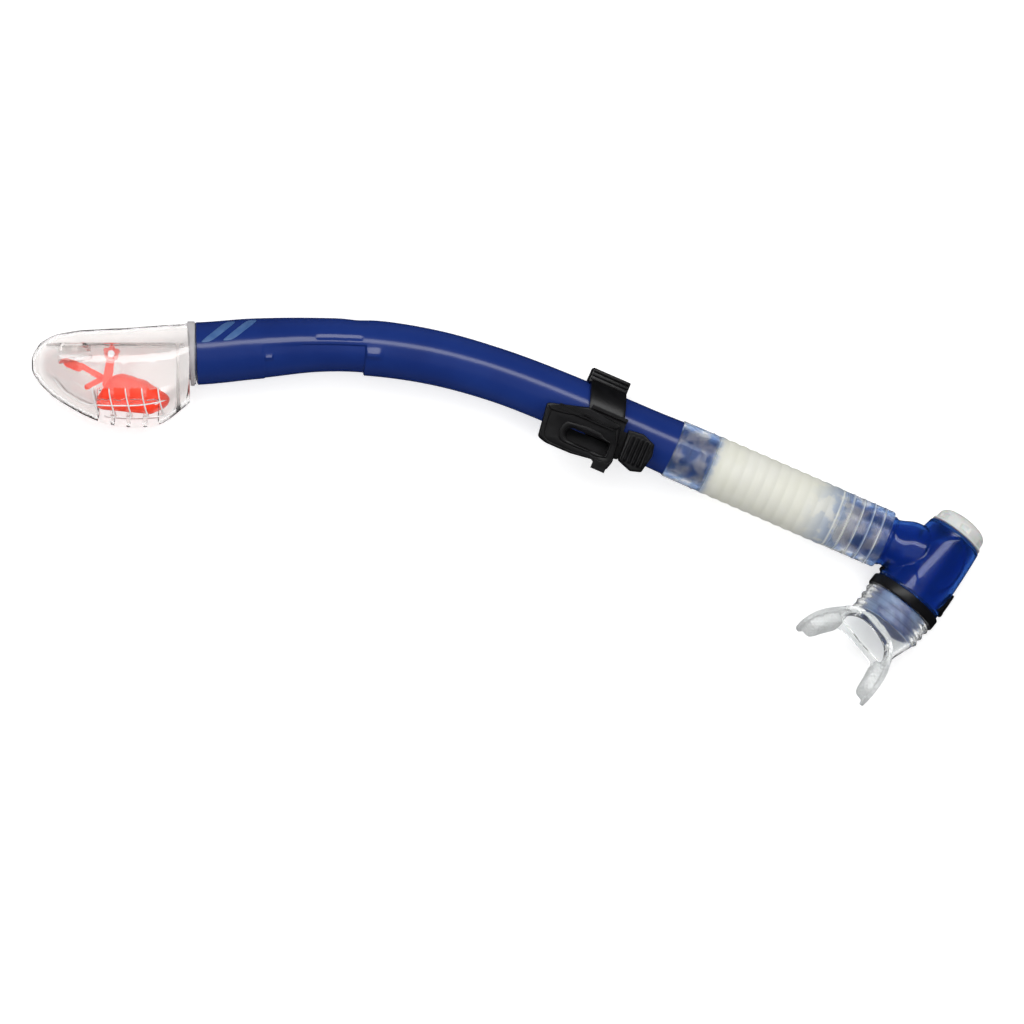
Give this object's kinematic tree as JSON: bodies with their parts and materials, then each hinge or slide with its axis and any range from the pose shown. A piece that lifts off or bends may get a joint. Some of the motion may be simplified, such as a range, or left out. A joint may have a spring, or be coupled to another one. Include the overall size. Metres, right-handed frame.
{
  "type": "dry-top snorkel tube",
  "caption": "Bent snorkel tube lying flat, with a float-valve dry top, corrugated flexible hose, purge chamber, swivelling silicone mouthpiece and quick-release strap keeper.",
  "frame": {"origin": "middle of the bounding box's underside, on the surface the snorkel lies on", "axes": "+X along the length from the dry top to the purge chamber, +Y to the outer side of the tube's bend, away from the mouthpiece, +Z up from the surface it lies on; in use -X points up"},
  "size_m": [0.4746, 0.1944, 0.052],
  "materials": {
    "clear_shell": "clear moulded polycarbonate",
    "clear_frame": "clear moulded polycarbonate",
    "steel_pin": "plain stainless steel",
    "clear_silicone": "translucent silicone, soft sheen",
    "orange_plastic": "orange-red moulded plastic",
    "frosted_collar": "grey translucent plastic",
    "blue_plastic": "deep blue gloss",
    "grey_inlay": "satin grey-blue",
    "hose_silicone": "milky translucent silicone",
    "black_plastic": "satin black nylon",
    "clear_blue": "transparent blue polycarbonate",
    "milky_cap": "milky translucent plastic",
    "blue_spigot": "deep blue gloss",
    "mouth_silicone": "clear silicone"
  },
  "bodies": {
    "barrel": {"barrel_tube": "blue_plastic", "barrel_inlay_upper": "grey_inlay", "barrel_inlay_lower": "grey_inlay", "head_shell": "clear_shell", "valve_frame": "clear_frame", "float_pivot_pin": "steel_pin", "head_collar": "frosted_collar", "head_gasket": "clear_silicone", "flex_hose": "hose_silicone"},
    "float_arm": {"float_lever": "orange_plastic", "float_body": "orange_plastic", "seal_flap": "clear_silicone"},
    "keeper": {"keeper_band": "black_plastic", "keeper_base": "black_plastic", "release_spring": "steel_pin"},
    "buckle": {"strap_buckle": "black_plastic"},
    "release": {"release_button": "black_plastic"},
    "chamber": {"chamber_body": "clear_blue", "purge_seat": "clear_frame", "purge_cap": "milky_cap", "collar_ring": "black_plastic"},
    "purge_valve": {"purge_diaphragm": "clear_silicone"},
    "mouth": {"mouth_swivel": "blue_spigot", "mouthpiece": "mouth_silicone"}
  },
  "joints": [
    {"name": "float_pivot", "type": "hinge", "parent": "barrel", "child": "float_arm", "pos_m": [-0.19821, 0.07888, 0.0196], "axis": [0, 0, 1], "range_deg": [-8.2, 3]},
    {"name": "keeper_slide", "type": "slide", "parent": "barrel", "child": "keeper", "axis": [0.9182, -0.3962, 0], "range_m": [-0.007, 0.01]},
    {"name": "buckle_slide", "type": "slide", "parent": "keeper", "child": "buckle", "axis": [-0.9182, 0.3962, 0], "range_m": [0, 0.02]},
    {"name": "release_press", "type": "slide", "parent": "keeper", "child": "release", "axis": [0, 0, -1], "range_m": [0, 0.0014], "stiffness_N_per_m": 600, "springref_m": -0.001, "deforming": ["release_spring"]},
    {"name": "hose_flex", "type": "hinge", "parent": "barrel", "child": "chamber", "pos_m": [0.12804, 0.01223, 0.0196], "axis": [0, 0, 1], "range_deg": [-35, 35], "stiffness_Nm_per_rad": 0.3, "deforming": ["flex_hose"]},
    {"name": "purge_lift", "type": "slide", "parent": "chamber", "child": "purge_valve", "axis": [0.6326, 0.7674, -0.1045], "range_m": [0, 0.0014], "stiffness_N_per_m": 40},
    {"name": "mouthpiece_swivel", "type": "hinge", "parent": "chamber", "child": "mouth", "pos_m": [0.19577, -0.0434, 0.0204], "axis": [-0.6326, -0.7674, 0.1045], "continuous": true}
  ]
}
